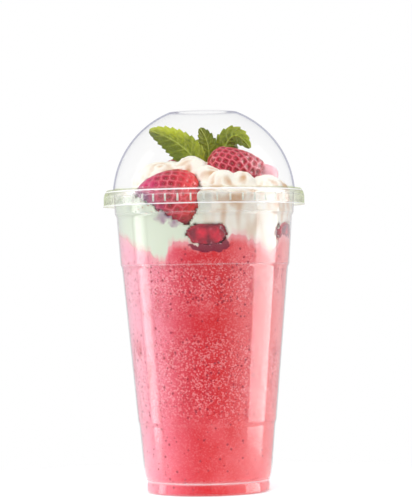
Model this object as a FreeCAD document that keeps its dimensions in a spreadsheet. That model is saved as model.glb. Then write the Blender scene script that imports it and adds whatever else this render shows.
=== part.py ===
import FreeCAD, Part
import math
import os
import Sketcher
from FreeCAD import Placement, Rotation, Vector

# A clear thermoformed cold cup with a snap-on dome lid, filled with a blended
# strawberry drink, whipped cream, strawberries and mint leaves.
# Frame: millimetres, +Z up along the cup's axis, origin at the middle of the foot
# on the plane that the cup stands on. The front of the drink faces -Y.

doc = FreeCAD.newDocument("filled_cold_cup")
sheet = doc.addObject("Spreadsheet::Sheet", "Sizes")
rows_used = 0


# Driving sizes

CUP_SIZES = {
    "cup_height": 152.5,
    "cup_wall": 0.4,
    "rim_radius": 49.0,
    "curl_radius": 1.7,
    "curl_tuck_angle": 55,
    "ledge_rise": 1.4,
    "neck_ring_height": 139.4,
    "neck_ring_radius": 44.4,
    "neck_ring_step": 0.9,
    "high_ring_height": 113.6,
    "high_ring_radius": 42.05,
    "high_ring_step": 0.7,
    "low_ring_height": 34.6,
    "low_ring_radius": 34.45,
    "low_ring_step": 0.55,
    "belly_height": 9.0,
    "belly_radius": 32.15,
    "waist_height": 6.0,
    "waist_radius": 31.1,
    "foot_radius": 31.9,
    "foot_round": 0.8,
    "foot_width": 3.0,
    "foot_draft": 0.6,
    "floor_height": 5.2,
}

LID_SIZES = {
    "lid_wall": 0.4,
    "seat_gap": 0.15,
    "dome_inset": 3.0,
    "dome_rise": 39.3,
    "dome_bulge": 7.3,
    "straw_hole_radius": 12.7,
    "straw_hole_land": 2.6,
    "flange_overhang": 0.2,
    "skirt_clearance": 1.45,
    "skirt_depth": 8.4,
    "shoulder_drop": 3.6,
    "lip_height": 0.8,
    "lip_flare": 0.35,
    "lug_count": 48,
    "lug_width": 0.8,
    "lug_height": 3.9,
    "lug_drop": 3.2,
    "snap_gap": 0.15,
}

DRINK_SIZES = {
    "fill_gap": 0.1,
    "room_gap": 0.05,
    "drink_height": 123.5,
    "swell_span": 14.0,
}

CREAM_SIZES = {
    "mound_height": 157.0,
    "mound_shoulder_height": 154.5,
    "mound_shoulder_radius": 34.0,
    "mound_edge_radius": 40.0,
    "bed_gap": 0.1,
    "window_step": 5.0,
    "front_window_steps": 2,
}

# Where the drink rises or sinks along the cup's wall: bearing in degrees from +X,
# distance from the axis, and the rise at that point.
SWELLS = {
    "swell_left": dict(bearing=188, reach=42, rise=7.0),
    "swell_front_left": dict(bearing=242, reach=42, rise=-7.5),
    "swell_front": dict(bearing=258, reach=42, rise=2.5),
    "swell_front_right": dict(bearing=296, reach=42, rise=5.0),
    "swell_right": dict(bearing=318, reach=42, rise=-6.0),
    "swell_far_right": dict(bearing=350, reach=42, rise=4.0),
    "swell_rear_right": dict(bearing=60, reach=40, rise=-5.0),
    "swell_rear_left": dict(bearing=125, reach=40, rise=4.5),
    "swell_middle": dict(bearing=0, reach=0, rise=3.0),
}

# The lobes of the piped cream: middle, and half the size along each axis.
LOBES = {
    "lobe_left": dict(x=-19, y=-1, z=155.5, half_x=17, half_y=18, half_z=12),
    "lobe_peak": dict(x=-6, y=-6, z=160, half_x=9.5, half_y=11, half_z=9.5),
    "lobe_middle": dict(x=2.5, y=-17, z=156.5, half_x=8, half_y=9, half_z=8),
    "lobe_front": dict(x=9, y=-25, z=154.5, half_x=7, half_y=8, half_z=7.5),
    "lobe_front_right": dict(x=19, y=-22, z=153.5, half_x=6.5, half_y=8, half_z=8),
    "lobe_right": dict(x=31, y=-13, z=151.5, half_x=8.5, half_y=13, half_z=8),
    "lobe_far_right": dict(x=37, y=6, z=151, half_x=7, half_y=12, half_z=7),
    "lobe_rear_right": dict(x=22, y=20, z=153, half_x=13, half_y=12, half_z=8),
    "lobe_rear": dict(x=2, y=29, z=154, half_x=14, half_y=11, half_z=8),
    "lobe_rear_left": dict(x=-21, y=21, z=153, half_x=13, half_y=11, half_z=9),
    "lobe_core": dict(x=7, y=5, z=155, half_x=20, half_y=17, half_z=12.5),
}

# Each whole berry: length of its core, greatest width, the middle of the core, the
# bearing that its tip points to and how far the tip dips below the horizontal.
BERRIES = {
    "strawberry_front": dict(length=31, width=31, x=-16.3, y=-26, z=146.5, bearing=-62, dip=50),
    "strawberry_top": dict(length=30, width=24.5, x=16, y=-1, z=163, bearing=-3, dip=-8),
    "strawberry_rear": dict(length=26, width=21, x=-15, y=17, z=159.5, bearing=150, dip=10),
}

# Each cut piece of berry that lies at the wall: bearing and distance of its middle from
# the axis, height, and half its size towards the axis, along the wall and upwards.
WALL_PIECES = {
    "berry_piece_front": dict(bearing=-88, reach=37.2, z=130.7, deep=6, along=10.5, tall=5.4),
    "berry_piece_side": dict(bearing=-17, reach=38.8, z=130.5, deep=4, along=8.5, tall=5),
}

# Each cut piece that leans on the top strawberry: its bearing, how far its middle lies
# past that berry's tip and over its underside, and half its size the same three ways.
LEANING_PIECES = {
    "berry_piece_under": dict(bearing=-3, past_tip=-5.5, tuck=7, deep=5.5, along=5, tall=4.5),
    "berry_slice": dict(bearing=7, past_tip=1.5, tuck=9.25, deep=6, along=3, tall=5.5),
}

# Each leaf: greatest width, thickness at the midrib, how deep it is cupped, where its
# stalk starts, the point that its midrib bends towards, and its tip.
LEAVES = {
    "mint_leaf_left": dict(
        width=14.5, thickness=0.6, cupping=-1.2,
        x=-1, y=6, z=163.5, bend_x=-10, bend_y=7, bend_z=176, tip_x=-27, tip_y=2, tip_z=183.2,
    ),
    "mint_leaf_middle": dict(
        width=10.5, thickness=0.6, cupping=1,
        x=1.5, y=10.5, z=163, bend_x=5, bend_y=10, bend_z=176, tip_x=-1.5, tip_y=8, tip_z=184.4,
    ),
    "mint_leaf_right": dict(
        width=11.5, thickness=0.6, cupping=-1,
        x=5, y=14, z=163, bend_x=11, bend_y=13, bend_z=191, tip_x=23.5, tip_y=7, tip_z=173.5,
    ),
}


def add_size(alias, number):
    """Puts one named number in the sheet."""
    global rows_used
    rows_used += 1
    sheet.set(f"A{rows_used}", alias)
    sheet.set(f"B{rows_used}", str(number))
    sheet.setAlias(f"B{rows_used}", alias)


def fill_sheet():
    """Puts every driving size in the sheet."""
    for group in (CUP_SIZES, LID_SIZES, DRINK_SIZES, CREAM_SIZES):
        for alias, number in group.items():
            add_size(alias, number)
    for group in (SWELLS, LOBES, BERRIES, WALL_PIECES, LEANING_PIECES, LEAVES):
        for name, numbers in group.items():
            for key, number in numbers.items():
                add_size(f"{name}_{key}", number)
    doc.recompute()


def size(alias):
    """A driving size, read from the sheet."""
    return float(sheet.get(alias))


# Values that follow from the driving sizes

derived = doc.addObject("App::VarSet", "Derived")


def derive(name, expression):
    """Adds a value that follows from the driving sizes."""
    derived.addProperty("App::PropertyFloat", name, "Derived")
    derived.setExpression(name, expression)
    doc.recompute()


def add_derived_values():
    """The rim's curl, the lid's fit on it, the circle that the dome's wall follows and
    the places of the pieces that lean on the top strawberry."""
    derive("curl_centre_radius", "Sizes.rim_radius - Sizes.curl_radius")
    derive("curl_centre_height", "Sizes.cup_height - Sizes.curl_radius")
    derive("curl_inside", "Sizes.curl_radius - Sizes.cup_wall")
    derive("foot_inner", "Sizes.foot_radius - Sizes.foot_width")
    derive("flange_top", "Sizes.cup_height + Sizes.seat_gap + Sizes.lid_wall")
    derive("skirt_foot", "Derived.flange_top - Sizes.skirt_depth")
    derive("shoulder_foot", "Derived.flange_top - Sizes.shoulder_drop")
    derive("dome_top", "Derived.flange_top + Sizes.dome_rise")
    derive("dome_base_radius", "Sizes.rim_radius - Sizes.dome_inset")
    derive("dome_flat_radius", "Sizes.straw_hole_radius + Sizes.straw_hole_land")
    derive("flange_radius", "Sizes.rim_radius + Sizes.flange_overhang")
    derive("skirt_radius", "Sizes.rim_radius + Sizes.skirt_clearance + Sizes.lid_wall")
    derive("dome_run", "Derived.dome_base_radius - Derived.dome_flat_radius")
    derive("dome_chord", "sqrt(Derived.dome_run ^ 2 + Sizes.dome_rise ^ 2)")
    derive(
        "dome_radius",
        "(Derived.dome_chord ^ 2 / 4 + Sizes.dome_bulge ^ 2) / (2 * Sizes.dome_bulge)",
    )
    derive("dome_back", "(Derived.dome_radius - Sizes.dome_bulge) / Derived.dome_chord")
    derive(
        "dome_centre_radius",
        "(Derived.dome_base_radius + Derived.dome_flat_radius) / 2 - Derived.dome_back * Sizes.dome_rise",
    )
    derive(
        "dome_centre_height",
        "Derived.flange_top + Sizes.dome_rise / 2 - Derived.dome_back * Derived.dome_run",
    )
    derive("dome_inside", "Derived.dome_radius - Sizes.lid_wall")
    derive("lug_top", "Derived.flange_top - Sizes.lug_drop")
    derive("lug_foot", "Derived.lug_top - Sizes.lug_height")
    derive("skirt_middle", "Derived.skirt_radius - Sizes.lid_wall / 2")
    for name in LEANING_PIECES:
        tip = "Sizes.strawberry_top_x + Sizes.strawberry_top_length / 2"
        underside = "Sizes.strawberry_top_z - Sizes.strawberry_top_width / 2"
        derive(f"{name}_reach", f"{tip} + Sizes.{name}_past_tip")
        derive(f"{name}_z", f"{underside} + Sizes.{name}_tuck")


# Sketches and features that the moulded pieces share


def origin_part(body, role):
    """One of a body's own origin planes or axes."""
    return next(f for f in body.Origin.OriginFeatures if f.Role == role)


def sketch_on(body, name, role="XZ_Plane"):
    """An empty sketch on one of the body's origin planes."""
    sketch = body.newObject("Sketcher::SketchObject", name)
    sketch.AttachmentSupport = (origin_part(body, role), [""])
    sketch.MapMode = "FlatFace"
    return sketch


def arc_between(start, end, radius, bend):
    """The arc of that radius from start to end. bend is 1 where it turns left, and -1 right."""
    chord = end - start
    middle = (start + end) / 2
    back = math.sqrt(max(radius**2 - (chord.Length / 2) ** 2, 0))
    left = Vector(-chord.y, chord.x, 0).normalize()
    centre = middle + left * back * bend
    first, last = (start, end) if bend > 0 else (end, start)
    angles = [math.atan2(p.y - centre.y, p.x - centre.x) for p in (first, last)]
    circle = Part.Circle(centre, Vector(0, 0, 1), radius)
    return Part.ArcOfCircle(circle, *angles)


def place_vertex(sketch, geometry, vertex, expressions):
    """Binds one vertex's radius and height to their expressions."""
    for kind, axis, expression in zip(("DistanceX", "DistanceY"), (-2, -1), expressions):
        if expression == "0":
            sketch.addConstraint(Sketcher.Constraint("PointOnObject", geometry, vertex, axis))
            continue
        number = sheet.evalExpression(expression)
        rule = Sketcher.Constraint(kind, -1, 1, geometry, vertex, number)
        index = sketch.addConstraint(rule)
        sketch.setExpression(f"Constraints[{index}]", expression)


def draw_outline(sketch, corners, arcs=None):
    """A closed outline. corners are (radius, height) expressions, and arcs gives the
    radius expression and the bend of the side that starts at a corner."""
    arcs = arcs or {}
    points = [Vector(*(sheet.evalExpression(e) for e in corner), 0) for corner in corners]
    ends = []
    for i, start in enumerate(points):
        end = points[(i + 1) % len(points)]
        if i in arcs:
            expression, bend = arcs[i]
            radius = sheet.evalExpression(expression)
            geometry = sketch.addGeometry(arc_between(start, end, radius, bend))
            ends.append((geometry, 1, 2) if bend > 0 else (geometry, 2, 1))
        else:
            geometry = sketch.addGeometry(Part.LineSegment(start, end))
            ends.append((geometry, 1, 2))
    for i, (geometry, first, last) in enumerate(ends):
        after, after_first, _ = ends[(i + 1) % len(ends)]
        joined = Sketcher.Constraint("Coincident", geometry, last, after, after_first)
        sketch.addConstraint(joined)
        place_vertex(sketch, geometry, first, corners[i])
    for i, (expression, _) in arcs.items():
        radius = sheet.evalExpression(expression)
        index = sketch.addConstraint(Sketcher.Constraint("Radius", ends[i][0], radius))
        sketch.setExpression(f"Constraints[{index}]", expression)
    doc.recompute()


def turned_body(label, corners, arcs=None):
    """A body of one outline turned round the Z axis."""
    body = doc.addObject("PartDesign::Body", label)
    body.Label = label
    sketch = sketch_on(body, f"{label}_outline")
    draw_outline(sketch, corners, arcs)
    turned = body.newObject("PartDesign::Revolution", f"{label}_turned")
    turned.Profile = sketch
    turned.ReferenceAxis = (sketch, ["V_Axis"])
    turned.Angle = 360
    body.Tip = turned
    doc.recompute()
    return body


# The cup: one sheet of clear plastic, formed over a tapered mould, with three
# stacking ledges, a waist over the foot and a rim that is rolled outwards


def wall_stations(inset):
    """The side wall from the waist to the top ledge, as (radius, height), set in from
    the outside of the wall by inset."""
    stations = [
        (f"Sizes.waist_radius - {inset}", "Sizes.waist_height"),
        (f"Sizes.belly_radius - {inset}", "Sizes.belly_height"),
    ]
    for ring in ("low_ring", "high_ring", "neck_ring"):
        radius = f"Sizes.{ring}_radius"
        height = f"Sizes.{ring}_height"
        stations.append((f"{radius} - {inset}", height))
        above = f"{radius} + Sizes.{ring}_step - {inset}"
        stations.append((above, f"{height} + Sizes.ledge_rise"))
    return stations


def curl_points(radius):
    """The rolled rim at a radius round its centre: inner side, top, outer side, tuck."""
    centre = "Derived.curl_centre_radius"
    height = "Derived.curl_centre_height"
    return [
        (f"{centre} - {radius}", height),
        (centre, f"{height} + {radius}"),
        (f"{centre} + {radius}", height),
        (
            f"{centre} + {radius} * cos(Sizes.curl_tuck_angle * 1 deg)",
            f"{height} - {radius} * sin(Sizes.curl_tuck_angle * 1 deg)",
        ),
    ]


def make_cup():
    """The cup, from its floor's underside up the outside, over the curl and down the
    inside."""
    underside = [
        ("0", "Sizes.floor_height"),
        ("Derived.foot_inner - Sizes.foot_draft", "Sizes.floor_height"),
        ("Derived.foot_inner", "0"),
        ("Sizes.foot_radius - Sizes.foot_round", "0"),
        ("Sizes.foot_radius", "Sizes.foot_round"),
    ]
    outside = wall_stations("0 * Sizes.cup_wall")
    roll_inside = curl_points("Derived.curl_inside")
    roll_outside = curl_points("Sizes.curl_radius")[::-1]
    inside = wall_stations("Sizes.cup_wall")[::-1]
    floor = [
        ("Sizes.foot_radius - Sizes.cup_wall", "Sizes.foot_round + Sizes.cup_wall"),
        ("Sizes.foot_radius - Sizes.foot_round - Sizes.cup_wall", "Sizes.cup_wall"),
        ("Derived.foot_inner + Sizes.cup_wall", "Sizes.cup_wall"),
        (
            "Derived.foot_inner - Sizes.foot_draft + Sizes.cup_wall",
            "Sizes.floor_height + Sizes.cup_wall",
        ),
        ("0", "Sizes.floor_height + Sizes.cup_wall"),
    ]
    corners = underside + outside + roll_inside + roll_outside + inside + floor
    arcs = {len(underside) - 2: ("Sizes.foot_round", 1)}
    roll_start = len(underside) + len(outside)
    for side in range(3):
        arcs[roll_start + side] = ("Derived.curl_inside", -1)
        arcs[roll_start + 4 + side] = ("Sizes.curl_radius", 1)
    return turned_body("cup", corners, arcs)


# The lid: one sheet of clear plastic, with a dome, a flange that sits on the rim and
# a skirt with small lugs that snap under the curl


def dome_inner_radius(height, inside="Derived.dome_inside"):
    """The inside of the dome's wall at a height, or of another arc round its centre."""
    return (
        "Derived.dome_centre_radius + "
        f"sqrt({inside} ^ 2 - ({height} - Derived.dome_centre_height) ^ 2)"
    )


def make_lid():
    """The lid, turned from one outline, with its ring of lugs."""
    ceiling = "Derived.dome_top - Sizes.lid_wall"
    seat = "Derived.flange_top - Sizes.lid_wall"
    lip = "Derived.skirt_foot + Sizes.lip_height"
    corners = [
        ("Sizes.straw_hole_radius", "Derived.dome_top"),
        ("Sizes.straw_hole_radius", ceiling),
        (dome_inner_radius(ceiling), ceiling),
        (dome_inner_radius(seat), seat),
        ("Derived.flange_radius - Sizes.lid_wall / 2", seat),
        ("Derived.skirt_radius - Sizes.lid_wall", "Derived.shoulder_foot - Sizes.lid_wall / 2"),
        ("Derived.skirt_radius - Sizes.lid_wall", lip),
        ("Derived.skirt_radius + Sizes.lip_flare - Sizes.lid_wall", "Derived.skirt_foot"),
        ("Derived.skirt_radius + Sizes.lip_flare", "Derived.skirt_foot"),
        ("Derived.skirt_radius", lip),
        ("Derived.skirt_radius", "Derived.shoulder_foot"),
        ("Derived.flange_radius", "Derived.flange_top"),
        ("Derived.dome_base_radius", "Derived.flange_top"),
        ("Derived.dome_flat_radius", "Derived.dome_top"),
    ]
    arcs = {2: ("Derived.dome_inside", -1), 12: ("Derived.dome_radius", 1)}
    body = turned_body("lid", corners, arcs)
    lug_sketch = sketch_on(body, "lug_outline")
    lug_inner = "Sizes.rim_radius + Sizes.snap_gap"
    shoulder_run = "(Derived.skirt_radius - Derived.flange_radius)"
    shoulder_share = "Sizes.lug_drop / Sizes.shoulder_drop"
    draw_outline(
        lug_sketch,
        [
            (lug_inner, "Derived.lug_top"),
            (
                f"Derived.flange_radius + {shoulder_run} * {shoulder_share} - Sizes.lid_wall / 2",
                "Derived.lug_top",
            ),
            ("Derived.skirt_middle", "Derived.shoulder_foot"),
            ("Derived.skirt_middle", "Derived.lug_foot"),
            (lug_inner, "Derived.lug_foot"),
        ],
    )
    lug = body.newObject("PartDesign::Pad", "lug")
    lug.Profile = lug_sketch
    lug.Midplane = True
    lug.setExpression("Length", "Sizes.lug_width")
    body.Tip = lug
    doc.recompute()
    ring = body.newObject("PartDesign::PolarPattern", "lug_ring")
    ring.Originals = [lug]
    ring.Axis = (origin_part(body, "Z_Axis"), [""])
    ring.Angle = 360
    ring.setExpression("Occurrences", "Sizes.lug_count")
    body.Tip = ring
    doc.recompute()
    return body


# The drink and the cream share the space inside the cup, divided by a wavy surface

NECK_TOP = "Derived.curl_centre_height"


def make_fill(label, top, gap="Sizes.fill_gap", arcs=None):
    """The space inside the cup up to the curl, set in from the wall by a gap, and closed
    by the corners in top."""
    low = f"(Sizes.cup_wall + {gap})"
    corners = [
        ("0", f"Sizes.floor_height + {low}"),
        (f"Derived.foot_inner - Sizes.foot_draft + {low}", f"Sizes.floor_height + {low}"),
        (f"Derived.foot_inner + {low}", low),
        (f"Sizes.foot_radius - Sizes.foot_round - {low}", low),
        (f"Sizes.foot_radius - {low}", f"Sizes.foot_round + {low}"),
        *wall_stations(low),
        (f"Derived.curl_centre_radius - Sizes.curl_radius - {gap}", NECK_TOP),
        *top,
    ]
    if arcs:
        arcs = {len(corners) + place: arc for place, arc in arcs.items()}
    return turned_body(label, corners, arcs)


def drink_surface_height(x, y):
    """The height of the drink under the cream at one place."""
    height = size("drink_height")
    for name in SWELLS:
        bearing = math.radians(size(f"{name}_bearing"))
        reach = size(f"{name}_reach")
        away = math.hypot(x - reach * math.cos(bearing), y - reach * math.sin(bearing))
        height += size(f"{name}_rise") * math.exp(-((away / size("swell_span")) ** 2))
    return height


def make_cream_zone():
    """The space over the drink's wavy surface."""
    reach = size("rim_radius") + size("curl_radius")
    steps = 16
    places = [reach * (2 * i / steps - 1) for i in range(steps + 1)]
    grid = [[Vector(x, y, drink_surface_height(x, y)) for y in places] for x in places]
    surface = Part.BSplineSurface()
    surface.interpolate(grid)
    zone = doc.addObject("Part::Feature", "cream_zone")
    zone.Shape = surface.toShape().extrude(Vector(0, 0, size("cup_height")))
    return zone


def boolean(kind, name, base, tool):
    """A cut or a common of two objects, with the name as its label."""
    made = doc.addObject(kind, name)
    made.Label = name
    made.Base = base
    made.Tool = tool
    doc.recompute()
    return made


def cut_each(name, base, tools):
    """A piece less several others, taken away one by one."""
    for count, tool in enumerate(tools, 1):
        last = count == len(tools)
        base = boolean("Part::Cut", name if last else f"{name}_step_{count}", base, tool)
    return base


def fuse(name, shapes):
    """Several objects made one."""
    made = doc.addObject("Part::MultiFuse", name)
    made.Shapes = shapes
    made.Refine = False
    doc.recompute()
    return made


# The berries. Each one presses a bed into the cream, and where it lies against the
# wall the bed runs on outwards, so that the berry shows through the cup


def berry_shape(length, width, gap):
    """A strawberry along +Z, with the middle of its core at the origin and its tip at the
    top. gap is how much it is enlarged all round."""
    shares = [
        (0.0, 0.0),
        (0.03, 0.42),
        (0.13, 0.82),
        (0.3, 1.0),
        (0.55, 0.88),
        (0.8, 0.56),
        (0.95, 0.25),
        (1.0, 0.0),
    ]
    points = []
    for along, out in shares:
        height = (along - 0.5) * (length + 2 * gap)
        points.append(Vector(out * (width / 2 + gap), 0, height))
    curve = Part.BSplineCurve()
    outwards = Vector(width / 2, 0, 0)
    curve.interpolate(points, InitialTangent=outwards, FinalTangent=-outwards)
    core = Part.LineSegment(points[-1], points[0])
    face = Part.Face(Part.Wire([curve.toShape(), core.toShape()]))
    half = face.revolve(Vector(0, 0, 0), Vector(0, 0, 1), 180)
    other_half = half.copy()
    other_half.rotate(Vector(0, 0, 0), Vector(0, 0, 1), 180)
    return half.fuse(other_half).Solids[0]


def berry_placement(name, outwards=0.0):
    """Where a berry lies, moved away from the cup's axis by outwards."""
    bearing = math.radians(size(f"{name}_bearing"))
    dip = math.radians(size(f"{name}_dip"))
    level = math.cos(dip)
    towards = Vector(math.cos(bearing) * level, math.sin(bearing) * level, -math.sin(dip))
    middle = Vector(*(size(f"{name}_{axis}") for axis in "xyz"))
    away = Vector(middle.x, middle.y, 0).normalize()
    return Placement(middle + away * outwards, Rotation(Vector(0, 0, 1), towards))


def make_berry(name, room):
    """One strawberry, pressed flat where it would reach out of the room for the cream."""
    whole = doc.addObject("Part::Feature", f"{name}_whole")
    whole.Shape = berry_shape(size(f"{name}_length"), size(f"{name}_width"), 0)
    whole.Placement = berry_placement(name)
    return boolean("Part::Common", name, whole, room)


def make_berry_bed(name, label, outwards=0.0):
    """The room that a berry takes up in the cream, moved outwards for a window."""
    bed = doc.addObject("Part::Feature", label)
    length = size(f"{name}_length")
    bed.Shape = berry_shape(length, size(f"{name}_width"), size("bed_gap"))
    bed.Placement = berry_placement(name, outwards)
    return bed


def make_ellipsoid(label, name, gap="0", outwards="0"):
    """A berry piece, or its bed if it is enlarged by gap and moved outwards."""
    place = "Derived" if name in LEANING_PIECES else "Sizes"
    made = doc.addObject("Part::Ellipsoid", label)
    made.Label = label
    for radius, key in (("Radius2", "deep"), ("Radius3", "along"), ("Radius1", "tall")):
        made.setExpression(radius, f"Sizes.{name}_{key} + {gap}")
    reach = f"({place}.{name}_reach + {outwards})"
    bearing = f"Sizes.{name}_bearing * 1 deg"
    made.setExpression("Placement.Base.x", f"{reach} * cos({bearing})")
    made.setExpression("Placement.Base.y", f"{reach} * sin({bearing})")
    made.setExpression("Placement.Base.z", f"{place}.{name}_z")
    made.Placement.Rotation = Rotation(Vector(0, 0, 1), size(f"{name}_bearing"))
    doc.recompute()
    return made


def make_beds():
    """The beds of all berries and pieces, with the windows towards the wall."""
    beds = []
    for name in BERRIES:
        beds.append(make_berry_bed(name, f"{name}_bed"))
    for name in (*WALL_PIECES, *LEANING_PIECES):
        beds.append(make_ellipsoid(f"{name}_bed", name, "Sizes.bed_gap"))
    for step in range(1, int(size("front_window_steps")) + 1):
        label = f"strawberry_front_window_{step}"
        beds.append(make_berry_bed("strawberry_front", label, step * size("window_step")))
    for name in WALL_PIECES:
        label = f"{name}_window"
        beds.append(make_ellipsoid(label, name, "Sizes.bed_gap", "Sizes.window_step"))
    return beds


# The whipped cream: a mound over the drink, with lobes piped on top


def make_lobe(name):
    """One lobe of piped cream."""
    lobe = doc.addObject("Part::Ellipsoid", name)
    for radius, axis in (("Radius2", "x"), ("Radius3", "y"), ("Radius1", "z")):
        lobe.setExpression(radius, f"Sizes.{name}_half_{axis}")
    for axis in "xyz":
        lobe.setExpression(f"Placement.Base.{axis}", f"Sizes.{name}_{axis}")
    doc.recompute()
    return lobe


def make_mound():
    """The cream inside the cup and the low mound over it."""
    top = [
        ("Sizes.mound_edge_radius", NECK_TOP),
        ("Sizes.mound_shoulder_radius", "Sizes.mound_shoulder_height"),
        ("0", "Sizes.mound_height"),
    ]
    return make_fill("cream_mound", top)


def make_cream_room():
    """All the space that cream and berries can take up in the cup and under the dome."""
    gap = "Sizes.room_gap"
    seat = "Derived.flange_top - Sizes.lid_wall"
    ceiling = f"Derived.dome_top - Sizes.lid_wall - {gap}"
    inside = f"(Derived.dome_inside - {gap})"
    top = [
        (dome_inner_radius(seat, inside), seat),
        (dome_inner_radius(ceiling, inside), ceiling),
        ("0", ceiling),
    ]
    return make_fill("cream_room", top, gap, {-3: (inside, 1)})


# The mint leaves


def leaf_section(middle, across, normal, width, thickness, cupping):
    """One section of a leaf: two arcs that meet in its sharp edges."""
    left = middle - across * (width / 2)
    right = middle + across * (width / 2)
    over = middle + normal * (cupping + thickness / 2)
    under = middle + normal * (cupping - thickness / 2)
    upper_arc = Part.Arc(left, over, right).toShape()
    lower_arc = Part.Arc(right, under, left).toShape()
    return Part.Wire([upper_arc, lower_arc])


def leaf_shape(name):
    """A leaf that faces the front: sections along a bent midrib, widest a third up."""
    start = Vector(*(size(f"{name}_{axis}") for axis in "xyz"))
    bend = Vector(*(size(f"{name}_bend_{axis}") for axis in "xyz"))
    tip = Vector(*(size(f"{name}_tip_{axis}") for axis in "xyz"))
    width, thickness, cupping = (
        size(f"{name}_{key}") for key in ("width", "thickness", "cupping")
    )
    sections = []
    shares = ((0, 0.1), (0.1, 0.34), (0.25, 0.8), (0.42, 1), (0.62, 0.9), (0.82, 0.56), (1, 0.06))
    for along, share in shares:
        back = 1 - along
        middle = start * back**2 + bend * (2 * along * back) + tip * along**2
        heading = ((bend - start) * back + (tip - bend) * along).normalize()
        across = heading.cross(Vector(0, 1, 0)).normalize()
        normal = across.cross(heading)
        sections.append(
            leaf_section(middle, across, normal, width * share, thickness, cupping * share)
        )
    return Part.makeLoft(sections, True, False)


def make_leaf(name):
    """One mint leaf."""
    leaf = doc.addObject("Part::Feature", name)
    leaf.Label = name
    leaf.Shape = leaf_shape(name)
    return leaf


# Building and exporting


def check(piece):
    """Stops where a piece did not come out as one sound solid."""
    shape = piece.Shape
    faults = [state for state in piece.State if state in ("Invalid", "Error")]
    if faults or shape.isNull() or not shape.isValid() or len(shape.Solids) != 1:
        raise RuntimeError(f"{piece.Label} is not one valid solid: {piece.State}")


def make_contents():
    """The drink, the cream, the berries and the leaves."""
    zone = make_cream_zone()
    room = make_cream_room()
    beds = make_beds()
    berries = [make_berry(name, room) for name in BERRIES]
    leaves = [make_leaf(name) for name in LEAVES]
    full_drink = boolean("Part::Cut", "full_drink", make_fill("fill", [("0", NECK_TOP)]), zone)
    low_beds = [bed for bed in beds if full_drink.Shape.common(bed.Shape).Volume > 0]
    drink = cut_each("smoothie", full_drink, low_beds)
    piled = fuse("piled_cream", [make_mound()] + [make_lobe(name) for name in LOBES])
    held = boolean("Part::Common", "held_cream", piled, room)
    above = boolean("Part::Common", "cream_above", held, zone)
    cream = cut_each("whipped_cream", above, beds + leaves)
    pieces = [make_ellipsoid(name, name) for name in WALL_PIECES]
    top_bed = doc.getObject("strawberry_top_bed")
    under_whole = make_ellipsoid("under_whole", "berry_piece_under")
    under = boolean("Part::Cut", "berry_piece_under", under_whole, top_bed)
    slice_room = fuse("slice_room", [top_bed, doc.getObject("berry_piece_under_bed")])
    slice_whole = make_ellipsoid("slice_whole", "berry_slice")
    slice_cut = boolean("Part::Cut", "berry_slice", slice_whole, slice_room)
    return [drink, cream, *berries, *pieces, under, slice_cut, *leaves]


fill_sheet()
add_derived_values()
pieces = [make_cup(), make_lid(), *make_contents()]
os.makedirs("parts", exist_ok=True)
for piece in pieces:
    check(piece)
for piece in pieces:
    piece.Shape.exportStep(f"parts/{piece.Label}.step")
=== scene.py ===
import math

import bmesh
import bpy
from mathutils import Matrix, Vector, bvhtree, kdtree, noise


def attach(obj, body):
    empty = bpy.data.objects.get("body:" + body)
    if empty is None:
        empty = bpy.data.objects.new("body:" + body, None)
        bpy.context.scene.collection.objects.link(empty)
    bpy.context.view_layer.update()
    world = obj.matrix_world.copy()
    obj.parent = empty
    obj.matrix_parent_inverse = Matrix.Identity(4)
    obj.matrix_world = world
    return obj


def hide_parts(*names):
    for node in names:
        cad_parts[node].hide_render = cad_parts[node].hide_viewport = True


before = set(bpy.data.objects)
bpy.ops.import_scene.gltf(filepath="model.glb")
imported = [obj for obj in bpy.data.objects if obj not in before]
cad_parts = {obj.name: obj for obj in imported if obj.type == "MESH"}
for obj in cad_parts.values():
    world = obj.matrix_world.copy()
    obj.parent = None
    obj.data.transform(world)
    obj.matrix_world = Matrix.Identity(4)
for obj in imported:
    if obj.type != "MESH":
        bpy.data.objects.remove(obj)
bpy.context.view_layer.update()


# ---- Camera, floor and studio light ---------------------------------------
# The cup is seen from the front, level with its upper half, through a long lens. It
# stands between white walls, with two upright softboxes that leave the bright bands.

MM = 0.001

scene = bpy.context.scene
scene.view_settings.view_transform = "Standard"
scene.cycles.transparent_max_bounces = 32
scene.cycles.max_bounces = 12


def look_from(thing, place, target, roll=0.0):
    """Puts a camera or lamp at a place and turns its -Z axis to the target."""
    aim = (Vector(target) - Vector(place)).to_track_quat("-Z", "Y").to_matrix().to_4x4()
    thing.matrix_world = Matrix.Translation(place) @ aim @ Matrix.Rotation(roll, 4, "Z")


lens = bpy.data.cameras.new("portrait_lens")
lens.lens = 173.5
lens.sensor_width = 36.0
lens.clip_start = 0.01
camera = bpy.data.objects.new("portrait_camera", lens)
scene.collection.objects.link(camera)
look_from(camera, (0.0006, -1.222, 0.110), (0.0006, 0.0, 0.1223), math.radians(-0.9))
scene.camera = camera


def linear(hex_colour):
    """An sRGB hex colour as linear red, green, blue and alpha."""
    parts = [int(hex_colour[i : i + 2], 16) / 255 for i in (1, 3, 5)]
    return [p / 12.92 if p <= 0.04045 else ((p + 0.055) / 1.055) ** 2.4 for p in parts] + [1.0]


def add_node(tree, kind, settings=None, **inputs):
    """Adds one node, sets its fields, and sets or links its inputs by name or number."""
    node = tree.nodes.new(kind)
    for field, value in (settings or {}).items():
        setattr(node, field, value)
    for name, value in inputs.items():
        socket = node.inputs[int(name[1:])] if name[1:].isdigit() else node.inputs[name.replace("_", " ")]
        if isinstance(value, bpy.types.NodeSocket):
            tree.links.new(value, socket)
        else:
            socket.default_value = value
    return node


def new_material(name):
    """An empty node material, with its tree and output node."""
    material = bpy.data.materials.new(name)
    material.use_nodes = True
    tree = material.node_tree
    tree.nodes.clear()
    return material, tree, tree.nodes.new("ShaderNodeOutputMaterial")


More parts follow.
